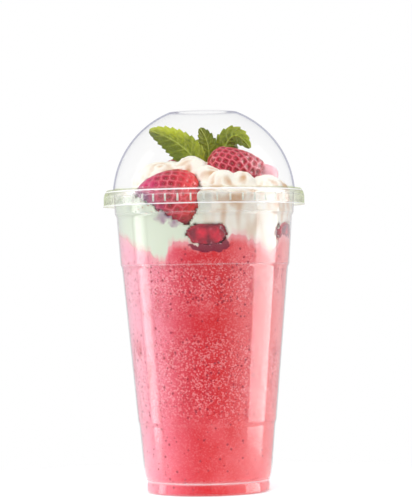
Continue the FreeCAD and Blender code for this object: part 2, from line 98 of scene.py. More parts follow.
def new_piece(name, vertices, faces, material, smooth=True):
    """A mesh object at the origin from vertices in metres."""
    mesh = bpy.data.meshes.new(name)
    mesh.from_pydata([tuple(v) for v in vertices], [], faces)
    mesh.materials.append(material)
    mesh.polygons.foreach_set("use_smooth", [smooth] * len(mesh.polygons))
    mesh.update()
    piece = bpy.data.objects.new(name, mesh)
    scene.collection.objects.link(piece)
    return piece


world = bpy.data.worlds.new("white_studio")
world.use_nodes = True
scene.world = world
sky = world.node_tree
sky.nodes.clear()
sight = add_node(sky, "ShaderNodeLightPath")
way = add_node(sky, "ShaderNodeTexCoord")
way_apart = add_node(sky, "ShaderNodeSeparateXYZ", _0=way.outputs["Generated"])
to_the_side = add_node(
    sky, "ShaderNodeMath", {"operation": "MULTIPLY"}, _0=way_apart.outputs["X"], _1=way_apart.outputs["X"]
)
wall_light = add_node(
    sky, "ShaderNodeMath", {"operation": "MULTIPLY_ADD"}, _0=to_the_side.outputs[0], _1=0.8, _2=0.6
)
glow = add_node(sky, "ShaderNodeBackground", Color=linear("#FAFAFF"), Strength=wall_light.outputs[0])
page = add_node(sky, "ShaderNodeBackground", Color=linear("#FFFFFF"), Strength=1.0)
chosen = add_node(
    sky, "ShaderNodeMixShader", _0=sight.outputs["Is Camera Ray"], _1=glow.outputs[0], _2=page.outputs[0]
)
sky_out = add_node(sky, "ShaderNodeOutputWorld", Surface=chosen.outputs[0])

floor_paint, tree, out = new_material("white_paper_sweep")
paper = add_node(tree, "ShaderNodeBsdfDiffuse", Color=linear("#F4F4F4"))
lit_paper = add_node(tree, "ShaderNodeEmission", Color=linear("#FFFFFF"), Strength=0.42)
paper_sum = add_node(tree, "ShaderNodeAddShader", _0=paper.outputs[0], _1=lit_paper.outputs[0])
gone = add_node(tree, "ShaderNodeBsdfTransparent")
where = add_node(tree, "ShaderNodeTexCoord")
away = add_node(tree, "ShaderNodeVectorMath", {"operation": "LENGTH"}, _0=where.outputs["Object"])
fade = add_node(
    tree,
    "ShaderNodeMapRange",
    {"interpolation_type": "SMOOTHSTEP"},
    Value=away.outputs["Value"],
    From_Min=0.06,
    From_Max=0.2,
)
both = add_node(
    tree, "ShaderNodeMixShader", _0=fade.outputs[0], _1=paper_sum.outputs[0], _2=gone.outputs[0]
)
tree.links.new(both.outputs[0], out.inputs["Surface"])
floor = new_piece(
    "floor", [(-3, -3, 0), (3, -3, 0), (3, 3, 0), (-3, 3, 0)], [(0, 1, 2, 3)], floor_paint
)


def softbox(name, middle, width, height, power, edge):
    """An upright light panel that faces the cup. edge is how much of its width fades out."""
    paint, tree, out = new_material(name)
    where = add_node(tree, "ShaderNodeUVMap")
    apart = add_node(tree, "ShaderNodeSeparateXYZ", _0=where.outputs[0])
    from_middle = add_node(
        tree, "ShaderNodeMath", {"operation": "PINGPONG"}, _0=apart.outputs["X"], _1=0.5
    )
    ramp = add_node(
        tree,
        "ShaderNodeMapRange",
        {"interpolation_type": "SMOOTHSTEP"},
        Value=from_middle.outputs[0],
        From_Min=0.0,
        From_Max=max(edge, 0.001) / 2,
        To_Max=power,
    )
    shine = add_node(tree, "ShaderNodeEmission", Strength=ramp.outputs[0])
    tree.links.new(shine.outputs[0], out.inputs["Surface"])
    corners = [(-1, -1), (1, -1), (1, 1), (-1, 1)]
    panel = new_piece(
        name, [(a * width / 2, b * height / 2, 0) for a, b in corners], [(0, 1, 2, 3)], paint
    )
    layer = panel.data.uv_layers.new(name="UVMap")
    for loop, (a, b) in zip(layer.data, corners):
        loop.uv = ((a + 1) / 2, (b + 1) / 2)
    look_from(panel, middle, (0, 0, middle[2]))
    panel.visible_camera = False
    panel.visible_diffuse = False
    return panel


softbox("softbox_right", (0.62, 0.0, 0.05), 0.44, 1.4, 6.4, 0.05)
softbox("softbox_left", (-0.68, 0.05, 0.05), 0.36, 1.4, 5.5, 0.8)

key_lamp = bpy.data.lights.new("top_softbox", "AREA")
key_lamp.energy = 4.6
key_lamp.size = 0.6
key = bpy.data.objects.new("top_softbox", key_lamp)
scene.collection.objects.link(key)
look_from(key, (-0.25, -0.55, 0.85), (0, 0, 0.14))
key.visible_glossy = False


# ---- Cup -------------------------------------------------------------------
# A disposable cold cup of clear PET: one sheet, thermoformed over a tapered mould,
# with three stacking ledges, a waist above the foot ring and a rim rolled outwards.

WALL = 0.4
CUP_OUTSIDE = [
    (31.1, 0.0),
    (31.9, 0.8),
    (31.1, 6.0),
    (32.15, 9.0),
    (34.45, 34.6),
    (35.0, 36.0),
    (42.05, 113.6),
    (42.75, 115.0),
    (44.4, 139.4),
    (45.3, 140.8),
    (45.6, 150.8),
]
CURL_CENTRE = (47.3, 150.8)
CURL_RADIUS = 1.7
FLOOR_HEIGHT = 5.2


def soften(points, radius, steps=4):
    """A run of points with its inner corners rounded to about the radius."""
    soft = [Vector(points[0])]
    for before, corner, after in zip(points, points[1:], points[2:]):
        before, corner, after = Vector(before), Vector(corner), Vector(after)
        cut = min(radius, (corner - before).length * 0.45, (after - corner).length * 0.45)
        first = corner + (before - corner).normalized() * cut
        last = corner + (after - corner).normalized() * cut
        for i in range(steps + 1):
            t = i / steps
            soft.append(first * (1 - t) ** 2 + corner * (2 * t * (1 - t)) + last * t**2)
    soft.append(Vector(points[-1]))
    return soft


def divide(points, longest):
    """The same run with more points, none further apart than longest."""
    full = []
    for start, end in zip(points, points[1:]):
        parts = max(1, math.ceil((Vector(end) - Vector(start)).length / longest))
        full += [Vector(start).lerp(Vector(end), i / parts) for i in range(parts)]
    return full + [Vector(points[-1])]


def turned(name, outline, material, sides=192, closed=True):
    """A mesh from an outline in (radius, height) millimetres, turned round the Z axis."""
    vertices, faces, rings = [], [], []
    for radius, height in outline:
        if radius < 1e-6:
            rings.append([len(vertices)])
            vertices.append((0, 0, height * MM))
            continue
        rings.append(list(range(len(vertices), len(vertices) + sides)))
        for i in range(sides):
            turn = 2 * math.pi * i / sides
            vertices.append(
                (radius * math.cos(turn) * MM, radius * math.sin(turn) * MM, height * MM)
            )
    pairs = list(zip(rings, rings[1:] + rings[:1] if closed else rings[1:]))
    for lower, upper in pairs:
        if len(lower) == 1 and len(upper) == 1:
            continue
        for i in range(sides):
            j = (i + 1) % sides
            corners = [lower[i % len(lower)], lower[j % len(lower)]]
            corners += [upper[j % len(upper)], upper[i % len(upper)]]
            faces.append(tuple(dict.fromkeys(corners)))
    piece = new_piece(name, vertices, faces, material)
    face_outwards(piece)
    return piece


def face_outwards(piece):
    """Merges doubles and turns every face outwards."""
    work = bmesh.new()
    work.from_mesh(piece.data)
    bmesh.ops.remove_doubles(work, verts=work.verts, dist=1e-7)
    bmesh.ops.recalc_face_normals(work, faces=work.faces)
    work.to_mesh(piece.data)
    work.free()


def wall_radius(height):
    """The outside radius of the cup's wall at a height, in millimetres."""
    for (low_r, low_z), (high_r, high_z) in zip(CUP_OUTSIDE, CUP_OUTSIDE[1:]):
        if height <= high_z:
            share = max(0.0, (height - low_z) / (high_z - low_z))
            return low_r + (high_r - low_r) * share
    return CUP_OUTSIDE[-1][0]


def curl(radius):
    """The rolled rim as an arc round its centre, from the inner side to the tuck."""
    turns = [math.radians(a) for a in range(180, -56, -14)]
    x, z = CURL_CENTRE
    return [Vector((x + radius * math.cos(t), z + radius * math.sin(t))) for t in turns]


# Clear PET, thermoformed: the wall is a third of a millimetre thick, so what lies
# behind it isn't shifted. It shows by its gloss, and where it is seen edge on; its
# bent edges are painted with white bands of highlight, partly for the real whitening of thick plastic.
def clear_pet(name, edge_colour, edge_from, gloss, grazing_gloss, roughness):
    """A thin clear wall: see-through, with a gloss that grows towards its edges."""
    material, tree, out = new_material(name)
    where = add_node(tree, "ShaderNodeTexCoord")
    waves = add_node(
        tree, "ShaderNodeTexNoise", Vector=where.outputs["Object"], Scale=60.0, Detail=2.0
    )
    bump = add_node(
        tree, "ShaderNodeBump", Strength=0.25, Distance=0.00005, Height=waves.outputs[0]
    )
    facing = add_node(tree, "ShaderNodeLayerWeight", Blend=0.5)
    edge = add_node(
        tree,
        "ShaderNodeMapRange",
        {"interpolation_type": "SMOOTHSTEP"},
        Value=facing.outputs["Facing"],
        From_Min=edge_from,
        From_Max=1.0,
    )
    tint = add_node(
        tree,
        "ShaderNodeMix",
        {"data_type": "RGBA"},
        _0=edge.outputs[0],
        _6=linear("#FEFEFE"),
        _7=linear(edge_colour),
    )
    clear = add_node(tree, "ShaderNodeBsdfTransparent", Color=tint.outputs[2])
    shine = add_node(
        tree,
        "ShaderNodeBsdfAnisotropic",
        Color=linear("#FFFFFF"),
        Roughness=roughness,
        Normal=bump.outputs[0],
    )
    grazing = add_node(
        tree, "ShaderNodeMath", {"operation": "POWER"}, _0=facing.outputs["Facing"], _1=3.5
    )
    share = add_node(
        tree,
        "ShaderNodeMath",
        {"operation": "MULTIPLY_ADD"},
        _0=grazing.outputs[0],
        _1=grazing_gloss,
        _2=gloss,
    )
    wall = add_node(
        tree, "ShaderNodeMixShader", _0=share.outputs[0], _1=clear.outputs[0], _2=shine.outputs[0]
    )
    # Painted highlight: plain white is mixed in where the edge attribute marks a bent edge.
    lit_edge = add_node(tree, "ShaderNodeAttribute", {"attribute_name": "lit_edge"})
    white = add_node(tree, "ShaderNodeBsdfDiffuse", Color=linear("#FFFFFF"))
    whole = add_node(
        tree,
        "ShaderNodeMixShader",
        _0=lit_edge.outputs["Fac"],
        _1=wall.outputs[0],
        _2=white.outputs[0],
    )
    tree.links.new(whole.outputs[0], out.inputs["Surface"])
    return material


def set_attribute(piece, name, values):
    """Stores a number, or a colour of four numbers, at each vertex for the material."""
    colours = hasattr(values[0], "__len__")
    layer = piece.data.attributes.new(name, "FLOAT_COLOR" if colours else "FLOAT", "POINT")
    flat = [part for value in values for part in value] if colours else values
    layer.data.foreach_set("color" if colours else "value", flat)


def paint_edge_highlights(piece, edges):
    """Paints white bands of highlight along a plastic piece's bent edges, partly for the real whitening of thick
    plastic: (height, half width, strength).
    """
    strengths = []
    for vertex in piece.data.vertices:
        z = vertex.co.z / MM
        strengths.append(max(power * math.exp(-(((z - at) / wide) ** 2)) for at, wide, power in edges))
    set_attribute(piece, "lit_edge", strengths)


outside = soften(CUP_OUTSIDE, 0.9) + curl(CURL_RADIUS - WALL)[1:]
foot_inside = 28.9
floor_top = [(foot_inside + WALL, WALL), (foot_inside - 0.6 + WALL, FLOOR_HEIGHT + WALL)]
floor_top += [(20.0, FLOOR_HEIGHT + WALL), (18.0, FLOOR_HEIGHT + WALL - 0.8), (0, FLOOR_HEIGHT + WALL - 0.8)]
floor_under = [(0, FLOOR_HEIGHT - 0.8), (18.0, FLOOR_HEIGHT - 0.8), (20.0, FLOOR_HEIGHT)]
floor_under += [(foot_inside - 0.6, FLOOR_HEIGHT), (foot_inside, 0.0)]
roll_outer = curl(CURL_RADIUS)[::-1]
wall_down = [Vector((r - WALL, z + (WALL if z < 1 else 0))) for r, z in soften(CUP_OUTSIDE, 0.9)[::-1][1:]]
cup_outline = outside + roll_outer + wall_down
cup_outline += soften([wall_down[-1]] + [Vector(p) for p in floor_top], 0.8)[1:]
cup_outline += soften([Vector(p) for p in floor_under] + [Vector(CUP_OUTSIDE[0])], 0.8)[:-1]
cup_plastic = clear_pet("thermoformed_pet_cup", "#E6E1DF", 0.86, 0.016, 0.4, 0.05)
cup = turned("cup_shell", cup_outline, cup_plastic)
# Painted highlight bands at the waist, the two upper ledges and the rolled rim.
paint_edge_highlights(cup, [(6.2, 0.5, 0.3), (115.0, 0.3, 0.12), (140.8, 0.3, 0.12), (152.4, 0.4, 0.3)])
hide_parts("cup")
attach(cup, "cup")


# ---- Lid -------------------------------------------------------------------
# A dome lid of clear PET, thermoformed in one piece: a flat top with a straw hole, a
# flange that seats on the rim, and a ribbed shoulder and skirt that snap over it.

LID_WALL = 0.4
FLANGE_TOP = 153.05
DOME_TOP = 192.35
DOME_BASE, DOME_FLAT = 46.0, 15.3
DOME_CENTRE, DOME_RADIUS = (-0.03, 149.25), 46.24
STRAW_HOLE = 12.7


def dome_arc(radius, low, high, steps=40):
    """The dome's wall at a radius from its centre, between two heights."""
    x, z = DOME_CENTRE
    first = math.asin((low - z) / radius)
    last = math.asin((high - z) / radius)
    turns = [first + (last - first) * i / steps for i in range(steps + 1)]
    return [Vector((x + radius * math.cos(t), z + radius * math.sin(t))) for t in turns]


dome_outside = dome_arc(DOME_RADIUS, FLANGE_TOP + 0.8, DOME_TOP - 0.3)
dome_inside = dome_arc(DOME_RADIUS - LID_WALL, FLANGE_TOP - LID_WALL, DOME_TOP - LID_WALL - 0.3)
lid_outline = soften(
    [
        (51.2 - LID_WALL, 144.65),
        (51.2, 144.65),
        (50.85, 145.5),
        (50.85, 149.45),
        (50.2, 151.6),
        (49.2, 153.05),
        (47.6, 153.05),
        (46.9, 152.75),
        (46.3, 153.0),
    ],
    0.7,
)
lid_outline += dome_outside
lid_outline += soften([dome_outside[-1], (14.6, DOME_TOP), (STRAW_HOLE, DOME_TOP)], 0.6)[1:]
lid_outline += [(STRAW_HOLE - 0.15, DOME_TOP - LID_WALL / 2)]
lid_outline += [(STRAW_HOLE, DOME_TOP - LID_WALL), (14.4, DOME_TOP - LID_WALL)]
lid_outline += dome_inside[::-1]
lid_outline += soften(
    [
        (46.4, 152.65),
        (46.9, 152.6),
        (47.6, 152.65),
        (49.0, 152.65),
        (49.85, 151.4),
        (50.45, 149.4),
        (50.45, 145.5),
        (50.75, 144.75),
    ],
    0.5,
)
lid_plastic = clear_pet("thermoformed_pet_lid", "#CFD0DE", 0.78, 0.005, 0.2, 0.15)
skirt_plastic = clear_pet("thermoformed_pet_skirt", "#F0F4E0", 0.35, 0.02, 0.3, 0.1)
lid = turned("lid_dome", lid_outline, lid_plastic)
lid.data.materials.append(skirt_plastic)
for face in lid.data.polygons:
    if face.center.z < (FLANGE_TOP + 0.3) * MM:
        face.material_index = 1
# Painted highlight bands at the flange, shoulder, skirt foot and the flat top round the straw hole.
paint_edge_highlights(lid, [(151.9, 0.25, 0.75), (149.6, 0.3, 0.12), (144.9, 0.35, 0.6), (DOME_TOP, 0.1, 0.15)])
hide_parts("lid")
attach(lid, "lid")

# Flank of a moulded lug in clear PET, shown as a small white tick: a mostly opaque matt
# white that is painted highlight, standing for the glint along its curved flank.
lug_painted_highlight, tree, out = new_material("moulded_pet_lug")
where = add_node(tree, "ShaderNodeTexCoord").outputs["Object"]
mist = add_node(tree, "ShaderNodeTexNoise", Vector=where, Scale=400.0)
mist_tone = add_node(
    tree,
    "ShaderNodeMix",
    {"data_type": "RGBA"},
    _0=mist.outputs[0],
    _6=linear("#FFFFFF"),
    _7=linear("#EFF3E2"),
)
highlight_white = add_node(tree, "ShaderNodeBsdfDiffuse", Color=mist_tone.outputs[2])
passed = add_node(tree, "ShaderNodeBsdfTransparent")
tick = add_node(tree, "ShaderNodeMixShader", _0=0.25, _1=highlight_white.outputs[0], _2=passed.outputs[0])
tree.links.new(tick.outputs[0], out.inputs["Surface"])


def grown(base, tree, **sizes):
    """Turns a base object into the plain mesh that a node tree grows from it."""
    modifier = base.modifiers.new(tree.name, "NODES")
    modifier.node_group = tree
    for socket in tree.interface.items_tree:
        if socket.in_out == "INPUT" and socket.name.replace(" ", "_") in sizes:
            modifier[socket.identifier] = sizes[socket.name.replace(" ", "_")]
    graph = bpy.context.evaluated_depsgraph_get()
    mesh = bpy.data.meshes.new_from_object(base.evaluated_get(graph))
    base.modifiers.remove(modifier)
    base.data = mesh


def growth_tree(name, sizes):
    """An empty geometry node tree with named inputs, and its input node."""
    tree = bpy.data.node_groups.new(name, "GeometryNodeTree")
    tree.interface.new_socket("Geometry", in_out="INPUT", socket_type="NodeSocketGeometry")
    for size, kind in sizes.items():
        tree.interface.new_socket(size, in_out="INPUT", socket_type=f"NodeSocket{kind}")
    tree.interface.new_socket("Geometry", in_out="OUTPUT", socket_type="NodeSocketGeometry")
    return tree, add_node(tree, "NodeGroupInput")


def finish_growth(tree, instances, material):
    """Ends a tree: real meshes, shaded smooth, in one material."""
    real = add_node(tree, "GeometryNodeRealizeInstances", Geometry=instances)
    smooth = add_node(tree, "GeometryNodeSetShadeSmooth", Geometry=real.outputs[0])
    dressed = add_node(
        tree, "GeometryNodeSetMaterial", Geometry=smooth.outputs[0], Material=material
    )
    add_node(tree, "NodeGroupOutput", Geometry=dressed.outputs[0])


LUG_SIZE = (1.2, 0.8, 3.9)
LUG_MIDDLE = 147.9
work = bmesh.new()
lug_place = Matrix.Translation((0, 0, LUG_MIDDLE * MM)) @ Matrix.Diagonal((*(s * MM for s in LUG_SIZE), 1))
bmesh.ops.create_cube(work, size=1.0, matrix=lug_place)
bmesh.ops.bevel(work, geom=work.edges[:], offset=0.25 * MM, segments=2, affect="EDGES")
lug_mesh = bpy.data.meshes.new("lid_lugs")
work.to_mesh(lug_mesh)
work.free()
lugs = bpy.data.objects.new("lid_lugs", lug_mesh)
scene.collection.objects.link(lugs)
tree, given = growth_tree("lug_ring", {"Lug Count": "Int", "Ring Radius": "Float"})
ring = add_node(
    tree,
    "GeometryNodeMeshCircle",
    Vertices=given.outputs["Lug Count"],
    Radius=given.outputs["Ring Radius"],
)
spot = add_node(tree, "GeometryNodeInputPosition")
turn = add_node(tree, "FunctionNodeAlignRotationToVector", {"axis": "X"}, Vector=spot.outputs[0])
row = add_node(
    tree,
    "GeometryNodeInstanceOnPoints",
    Points=ring.outputs[0],
    Instance=given.outputs[0],
    Rotation=turn.outputs[0],
)
finish_growth(tree, row.outputs[0], lug_painted_highlight)
grown(lugs, tree, Lug_Count=48, Ring_Radius=49.78 * MM)
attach(lugs, "lid")


# ---- What the wall touches ---------------------------------------------------
# The drink is a blended ice, strawberry and milk drink. It fills the cup to a wavy
# edge, where the cream that was piped on it has started to melt into it.

EDGE = [
    (-90, 131.0), (-80, 130.2), (-65, 128.2), (-56, 124.2), (-50, 122.8), (-45, 122.5),
    (-40, 120.8), (-34.6, 118.4), (-31.4, 117.0), (-28, 115.2), (-26, 120.0), (-24, 124.4),
    (-20, 125.8), (-15.4, 126.4), (-11, 124.6), (0, 124.2), (10, 125.0), (14, 127.8), (18.6, 129.2),
    (25.4, 128.9), (30.5, 127.2), (36, 125.8), (39.3, 124.8), (41.7, 122.1), (49, 119.6),
    (56.6, 122.8), (61, 127.2), (63, 128.9), (77.5, 128.6), (90, 129.0), (110, 124.0),
    (130, 120.0), (150, 126.0), (170, 129.0), (190, 125.0), (215, 118.0), (240, 124.0),
    (260, 130.0), (270, 131.0),
]


def edge_height(turn):
    """The height of the drink's edge on the wall. turn is in degrees from the front."""
    turn = (turn + 90) % 360 - 90
    for (low, low_z), (high, high_z) in zip(EDGE, EDGE[1:]):
        if turn <= high:
            share = (turn - low) / (high - low)
            share = share * share * (3 - 2 * share)
            base = low_z + (high_z - low_z) * share
            break
    spot = Vector((math.cos(math.radians(turn)), math.sin(math.radians(turn)), 0)) * 43
    ragged = noise.noise(spot / 2.4) * 1.7 + noise.noise(spot / 0.9) * 1.0
    return base + ragged


def front_turn(x, y):
    """The bearing of a place from the front of the cup, in degrees towards +X."""
    return math.degrees(math.atan2(x, -y))


# Blended strawberry drink: fine ice crystals scatter the light, so it is pale where they
# gather; specks of seed and skin are dark red, and there are more of them in some layers.
# Its lighter flanks and paler left and right edges are painted side light.
drink_look, tree, out = new_material("blended_strawberry_ice")
where = add_node(tree, "ShaderNodeTexCoord").outputs["Object"]
apart = add_node(tree, "ShaderNodeSeparateXYZ", _0=where)


def near_spot(tree, where, middle, half):
    """1 at a spot in the drink or cream and 0 outside its three half sizes, in mm."""
    centred = add_node(
        tree,
        "ShaderNodeMapping",
        Vector=where,
        Location=tuple(-m / h for m, h in zip(middle, half)),
        Scale=tuple(1000 / h for h in half),
    )
    far = add_node(tree, "ShaderNodeVectorMath", {"operation": "LENGTH"}, _0=centred.outputs[0])
    return add_node(
        tree, "ShaderNodeMapRange", Value=far.outputs["Value"], From_Min=1.1, From_Max=0.5
    ).outputs[0]


def mixed(tree, share, first, second):
    """One colour going over into another."""
    first = linear(first) if isinstance(first, str) else first
    second = linear(second) if isinstance(second, str) else second
    return add_node(
        tree, "ShaderNodeMix", {"data_type": "RGBA"}, _0=share, _6=first, _7=second
    ).outputs[2]


def ranged(tree, value, low, high, most=1.0, least=0.0):
    """A value brought from one range to another, with soft ends."""
    return add_node(
        tree,
        "ShaderNodeMapRange",
        {"interpolation_type": "SMOOTHSTEP"},
        Value=value,
        From_Min=low,
        From_Max=high,
        To_Min=least,
        To_Max=most,
    ).outputs[0]


def worked(tree, operation, first, second, third=0.0):
    """One sum on two or three numbers."""
    return add_node(
        tree, "ShaderNodeMath", {"operation": operation}, _0=first, _1=second, _2=third
    ).outputs[0]


clouds = add_node(tree, "ShaderNodeTexNoise", Vector=where, Scale=45.0, Detail=3.0).outputs[0]
layers = add_node(
    tree, "ShaderNodeMapping", Vector=where, Scale=(28.0, 28.0, 75.0)
)
swirl = add_node(tree, "ShaderNodeTexNoise", Vector=layers.outputs[0], Scale=1.0, Detail=2.0)
level = worked(tree, "MULTIPLY_ADD", swirl.outputs[0], 0.03, -0.015)
level = worked(tree, "ADD", level, apart.outputs["Z"])
low_layer = worked(
    tree, "MULTIPLY", ranged(tree, level, 0.028, 0.052), ranged(tree, level, 0.088, 0.072)
)
high_layer = worked(
    tree, "MULTIPLY", ranged(tree, level, 0.086, 0.102), ranged(tree, level, 0.124, 0.108)
)
icy = worked(tree, "MAXIMUM", low_layer, high_layer)
icy = worked(tree, "MULTIPLY_ADD", icy, 0.78, 0.22)
# Painted side light: paler towards the left and right edges, and lighter away from the middle. From left to right
# the reds also go from bluish to orange.
left_painted_side_light = ranged(tree, apart.outputs["X"], -0.012, -0.040)
right_painted_side_light = ranged(tree, apart.outputs["X"], 0.022, 0.046, 0.75)
sideways = ranged(tree, apart.outputs["X"], -0.03, 0.02)
middles = mixed(tree, sideways, "#D0233A", "#DC2828")
painted_lit_flanks = mixed(tree, sideways, "#EC5F74", "#F0686B")
off_middle = worked(tree, "ABSOLUTE", worked(tree, "SUBTRACT", apart.outputs["X"], 0.001), 0.0)
middles = mixed(tree, ranged(tree, off_middle, 0.004, 0.022, 0.85), middles, painted_lit_flanks)
pinks = mixed(tree, ranged(tree, clouds, 0.45, 0.75, 0.4), middles, "#F47C84")
pinks = mixed(tree, left_painted_side_light, pinks, "#FBB2C2")
pinks = mixed(tree, right_painted_side_light, pinks, "#FBAAA3")
streaks = add_node(tree, "ShaderNodeMapping", Vector=where, Scale=(150.0, 150.0, 60.0))
syrup = add_node(tree, "ShaderNodeTexNoise", Vector=streaks.outputs[0], Scale=1.0, Detail=3.0)
syrupy = worked(tree, "MULTIPLY", ranged(tree, syrup.outputs[0], 0.5, 0.68, 0.6), icy)
pinks = mixed(tree, syrupy, pinks, "#CF2A38")
grains = add_node(tree, "ShaderNodeTexVoronoi", Vector=where, Scale=1500.0)
ice = add_node(tree, "ShaderNodeSeparateColor", Color=grains.outputs["Color"]).outputs[0]
pale_ice = worked(tree, "MULTIPLY", ranged(tree, ice, 0.5, 1.0, 0.42), icy)
pinks = mixed(tree, pale_ice, pinks, "#FCC6C8")
between = worked(tree, "MULTIPLY", ranged(tree, ice, 0.45, 0.0, 0.35), icy)
pinks = mixed(tree, between, pinks, "#C92A3C")


def dots(tree, where, scale, chance, size, strength):
    """Round dots about a cell apart; chance is the share of the cells that have one."""
    cells = add_node(tree, "ShaderNodeTexVoronoi", Vector=where, Scale=scale)
    pick = add_node(tree, "ShaderNodeSeparateColor", Color=cells.outputs["Color"])
    rare = worked(tree, "LESS_THAN", pick.outputs[0], chance)
    round_dot = ranged(tree, cells.outputs["Distance"], size, size * 0.55, strength)
    return worked(tree, "MULTIPLY", rare, round_dot)


fine_specks = dots(tree, where, 850.0, worked(tree, "MULTIPLY", icy, 0.2), 0.45, 0.6)
pinks = mixed(tree, fine_specks, pinks, "#A9182F")
clusters = worked(
    tree,
    "MAXIMUM",
    near_spot(tree, where, (-7, -42, 98.5), (6.5, 9, 4.5)),
    near_spot(tree, where, (9.5, -42, 97.5), (6.5, 9, 4)),
)
seed_chance = worked(tree, "MULTIPLY_ADD", icy, 0.09, 0.045)
seed_chance = worked(tree, "MULTIPLY_ADD", clusters, 0.8, seed_chance)
coarse_specks = dots(tree, where, 520.0, seed_chance, 0.42, 0.8)
pinks = mixed(tree, coarse_specks, pinks, "#A0142E")
skins = dots(tree, where, 140.0, 0.05, 0.2, 0.6)
pinks = mixed(tree, skins, pinks, "#B2384A")
melt = add_node(tree, "ShaderNodeAttribute", {"attribute_name": "below_edge"})
creamy = ranged(tree, melt.outputs["Fac"], 4.5, 0.0, 0.6)
pinks = mixed(tree, creamy, pinks, "#F7BDBE")
ragged = add_node(tree, "ShaderNodeTexNoise", Vector=where, Scale=300.0, Detail=4.0).outputs[0]
smear = near_spot(tree, where, (2.5, -42, 124.2), (14, 12, 4.6))
smear = ranged(tree, worked(tree, "ADD", smear, ragged), 1.02, 1.2, 0.9)
pinks = mixed(tree, smear, pinks, "#7A0F30")
grain = add_node(tree, "ShaderNodeTexNoise", Vector=where, Scale=1100.0, Detail=1.0)
frost_bump = add_node(
    tree, "ShaderNodeBump", Strength=0.35, Distance=0.0001, Height=grain.outputs[0]
)
body = add_node(
    tree,
    "ShaderNodeBsdfPrincipled",
    Base_Color=pinks,
    Roughness=0.5,
    Specular_IOR_Level=0.15,
    Normal=frost_bump.outputs[0],
    Subsurface_Weight=0.15,
    Subsurface_Radius=(0.004, 0.0015, 0.001),
    Subsurface_Scale=1.0,
)
tree.links.new(body.outputs[0], out.inputs["Surface"])

DRINK_GAP = 0.1
SIDES = 540
drink_vertices, drink_faces, below_edge = [], [], []
low_outline = [(0, FLOOR_HEIGHT + WALL + DRINK_GAP), (28.8, FLOOR_HEIGHT + WALL + DRINK_GAP)]
low_outline += [(29.4, WALL + DRINK_GAP), (30.6, WALL + DRINK_GAP)]
low_outline += [
    (r - WALL - DRINK_GAP, z) for r, z in divide(soften(CUP_OUTSIDE[1:7], 0.9), 3.0) if z > 0.9
]
rings = len(low_outline) + 26
for ring in range(rings):
    for i in range(SIDES):
        turn = 360 * i / SIDES
        if ring < len(low_outline):
            r, z = low_outline[ring]
        else:
            share = (ring - len(low_outline) + 1) / 22
            start = low_outline[-1][1]
            top = edge_height(turn)
            if share <= 1:
                z = start + (top - start) * share
                r = wall_radius(z) - WALL - DRINK_GAP
            else:
                z = top + (share - 1) * 22 * 0.05
                r = wall_radius(top) - WALL - DRINK_GAP - ((share - 1) * 22) ** 2 * 0.5
        angle = math.radians(turn - 90)
        drink_vertices.append((r * math.cos(angle) * MM, r * math.sin(angle) * MM, z * MM))
        below_edge.append(edge_height(turn) - z)
for ring in range(rings - 1):
    for i in range(SIDES):
        j = (i + 1) % SIDES
        a, b = ring * SIDES, (ring + 1) * SIDES
        drink_faces.append((a + i, a + j, b + j, b + i))
drink_faces.append(tuple(range((rings - 1) * SIDES, rings * SIDES)))
drink = new_piece("strawberry_drink", drink_vertices, drink_faces, drink_look)
set_attribute(drink, "below_edge", below_edge)
face_outwards(drink)
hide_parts("smoothie")
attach(drink, "cup")


# ---- Whipped cream -----------------------------------------------------------
# Cream piped in thick lobes on top of the drink. It presses flat against the cup's
# wall, and over the rim it stands in soft rounded folds with small ridges.

LOBES = [
    ((-19, -1, 155.5), (17, 18, 12)),
    ((-6, -6, 160), (9.5, 11, 9.5)),
    ((2.5, -17, 156.5), (8, 9, 8)),
    ((9, -25, 154.5), (7, 8, 7.5)),
    ((19, -22, 153.5), (6.5, 8, 8)),
    ((31, -13, 151.5), (8.5, 13, 8)),
    ((37, 6, 151), (7, 12, 7)),
    ((22, 20, 153), (13, 12, 8)),
    ((2, 29, 154), (14, 11, 8)),
    ((-21, 21, 153), (13, 11, 9)),
    ((7, 5, 155), (20, 17, 12.5)),
]

# Whipped cream: a dense foam of fat, so light goes in a little way and comes out soft
# and slightly warm; it has no hard shine.
cream_look, tree, out = new_material("whipped_cream_foam")
where = add_node(tree, "ShaderNodeTexCoord").outputs["Object"]
folds = add_node(tree, "ShaderNodeTexNoise", Vector=where, Scale=120.0, Detail=4.0)
# The colour comes from the vertices: the cream's own tones, stains and painted shade in its folds.
tone = add_node(tree, "ShaderNodeAttribute", {"attribute_name": "cream_tone"})
ripple = add_node(tree, "ShaderNodeBump", Strength=0.35, Distance=0.0006, Height=folds.outputs[0])
body = add_node(
    tree,
    "ShaderNodeBsdfPrincipled",
    Base_Color=tone.outputs["Color"],
    Roughness=0.5,
    Specular_IOR_Level=0.12,
    Normal=ripple.outputs[0],
    Subsurface_Weight=0.15,
    Subsurface_Radius=(0.002, 0.0015, 0.001),
    Subsurface_Scale=1.0,
)
tree.links.new(body.outputs[0], out.inputs["Surface"])

work = bmesh.new()
for (x, y, z), (half_x, half_y, half_z) in LOBES:
    place = Matrix.Translation(Vector((x, y, z)) * MM)
    grow = Matrix.Diagonal((half_x * MM, half_y * MM, half_z * MM, 1))
    bmesh.ops.create_icosphere(work, subdivisions=4, radius=1.0, matrix=place @ grow)
cream_mesh = bpy.data.meshes.new("lobes")
work.to_mesh(cream_mesh)
work.free()
lobes = bpy.data.objects.new("lobes", cream_mesh)
scene.collection.objects.link(lobes)
core_outline = [(0, 108), (40, 108), (42, 112), (43.5, 130), (44.6, 146), (44.8, 150.5), (40, 152)]
core_outline += [(34, 154.5), (0, 157)]
core = turned("cream_core", core_outline, cream_look, sides=96)


